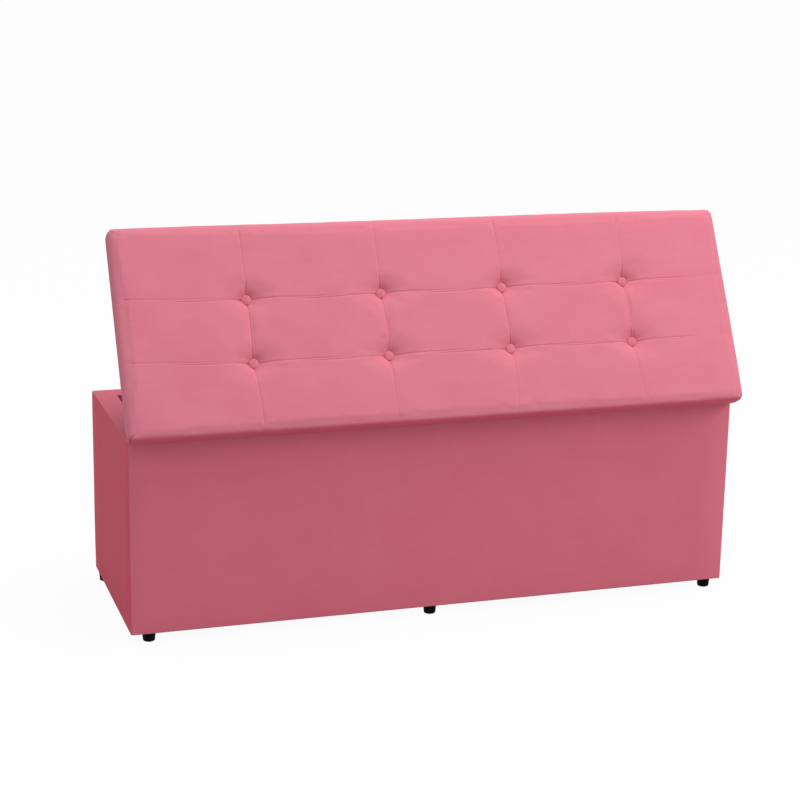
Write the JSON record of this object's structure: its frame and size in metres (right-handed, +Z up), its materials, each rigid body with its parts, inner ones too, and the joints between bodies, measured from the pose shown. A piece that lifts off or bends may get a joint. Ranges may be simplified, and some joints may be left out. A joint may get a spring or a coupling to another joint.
{
  "type": "storage bench",
  "caption": "Long upholstered storage bench on short round feet, with a button-tufted padded lid that lifts on hidden hinges and gas struts over a lined well.",
  "frame": {"origin": "on the floor, at the middle of the box that the bench fills with its lid open", "axes": "+X along the bench, +Y towards the side where the lid opens, +Z up"},
  "size_m": [1.408, 0.5084, 0.8758],
  "materials": {
    "suede": "matte pink suede",
    "button_suede": "matte pink suede, drawn over a button",
    "dark_cloth": "dark non-woven cloth",
    "hardboard": "smooth hardboard",
    "pine": "planed pine",
    "plywood": "sanded plywood",
    "foam": "open-cell foam",
    "twine": "waxed twine and pressed washer",
    "black_plastic": "moulded, satin",
    "zinc": "zinc plated",
    "black_paint": "black powder coat",
    "steel": "ground and polished"
  },
  "bodies": {
    "base": {"base_cover": "suede", "front_outer_panel": "hardboard", "back_outer_panel": "hardboard", "left_outer_panel": "hardboard", "right_outer_panel": "hardboard", "front_inner_panel": "hardboard", "back_inner_panel": "hardboard", "left_inner_panel": "hardboard", "right_inner_panel": "hardboard", "front_top_rail": "pine", "back_top_rail": "pine", "left_top_rail": "pine", "right_top_rail": "pine", "front_bottom_rail": "pine", "back_bottom_rail": "pine", "left_bottom_rail": "pine", "right_bottom_rail": "pine", "wall_studs": "pine", "floor_bearers": "pine", "floor_panel": "plywood", "well_lining": "dark_cloth", "dust_cloth": "dark_cloth", "foot_back_left": "black_plastic", "foot_back_middle": "black_plastic", "foot_back_right": "black_plastic", "foot_front_left": "black_plastic", "foot_front_middle": "black_plastic", "foot_front_right": "black_plastic", "foot_screws": "zinc", "left_hinge_base_leaf": "zinc", "middle_hinge_base_leaf": "zinc", "right_hinge_base_leaf": "zinc", "hinge_pins": "steel", "hinge_base_screws": "zinc", "left_strut_base_bracket": "black_paint", "right_strut_base_bracket": "black_paint", "strut_base_screws": "zinc"},
    "lid": {"lid_board": "plywood", "lid_foam": "foam", "lid_cover": "suede", "upper_row_buttons": "button_suede", "lower_row_buttons": "button_suede", "button_twines": "twine", "lid_underside_cloth": "dark_cloth", "left_hinge_lid_leaf": "zinc", "middle_hinge_lid_leaf": "zinc", "right_hinge_lid_leaf": "zinc", "hinge_lid_screws": "zinc", "left_strut_lid_bracket": "black_paint", "right_strut_lid_bracket": "black_paint", "strut_lid_screws": "zinc"},
    "left_cylinder": {"left_strut_cylinder": "black_paint", "left_strut_lower_socket": "black_plastic"},
    "left_rod": {"left_strut_rod": "steel", "left_strut_upper_socket": "black_plastic"},
    "right_cylinder": {"right_strut_cylinder": "black_paint", "right_strut_lower_socket": "black_plastic"},
    "right_rod": {"right_strut_rod": "steel", "right_strut_upper_socket": "black_plastic"}
  },
  "joints": [
    {"name": "lid_hinge", "type": "hinge", "parent": "base", "child": "lid", "pos_m": [0, -0.20906, 0.4543], "axis": [1, 0, 0], "range_deg": [-61, 0], "stiffness_Nm_per_rad": 13.6, "springref_deg": 63.03},
    {"name": "left_cylinder_swing", "type": "hinge", "parent": "base", "child": "left_cylinder", "pos_m": [-0.634, -0.12767, 0.21792], "axis": [1, 0, 0], "range_deg": [-30.5, 0]},
    {"name": "left_rod_swing", "type": "hinge", "parent": "lid", "child": "left_rod", "pos_m": [-0.634, -0.06926, 0.66156], "axis": [1, 0, 0], "range_deg": [0, 30.5]},
    {"name": "right_cylinder_swing", "type": "hinge", "parent": "base", "child": "right_cylinder", "pos_m": [0.634, -0.12767, 0.21792], "axis": [1, 0, 0], "range_deg": [-30.5, 0]},
    {"name": "right_rod_swing", "type": "hinge", "parent": "lid", "child": "right_rod", "pos_m": [0.634, -0.06926, 0.66156], "axis": [1, 0, 0], "range_deg": [0, 30.5]}
  ],
  "couplings": [
    {"joint": "left_cylinder_swing", "follows": "lid_hinge", "ratio": 0.5},
    {"joint": "left_rod_swing", "follows": "lid_hinge", "ratio": -0.5},
    {"joint": "right_cylinder_swing", "follows": "lid_hinge", "ratio": 0.5},
    {"joint": "right_rod_swing", "follows": "lid_hinge", "ratio": -0.5}
  ]
}
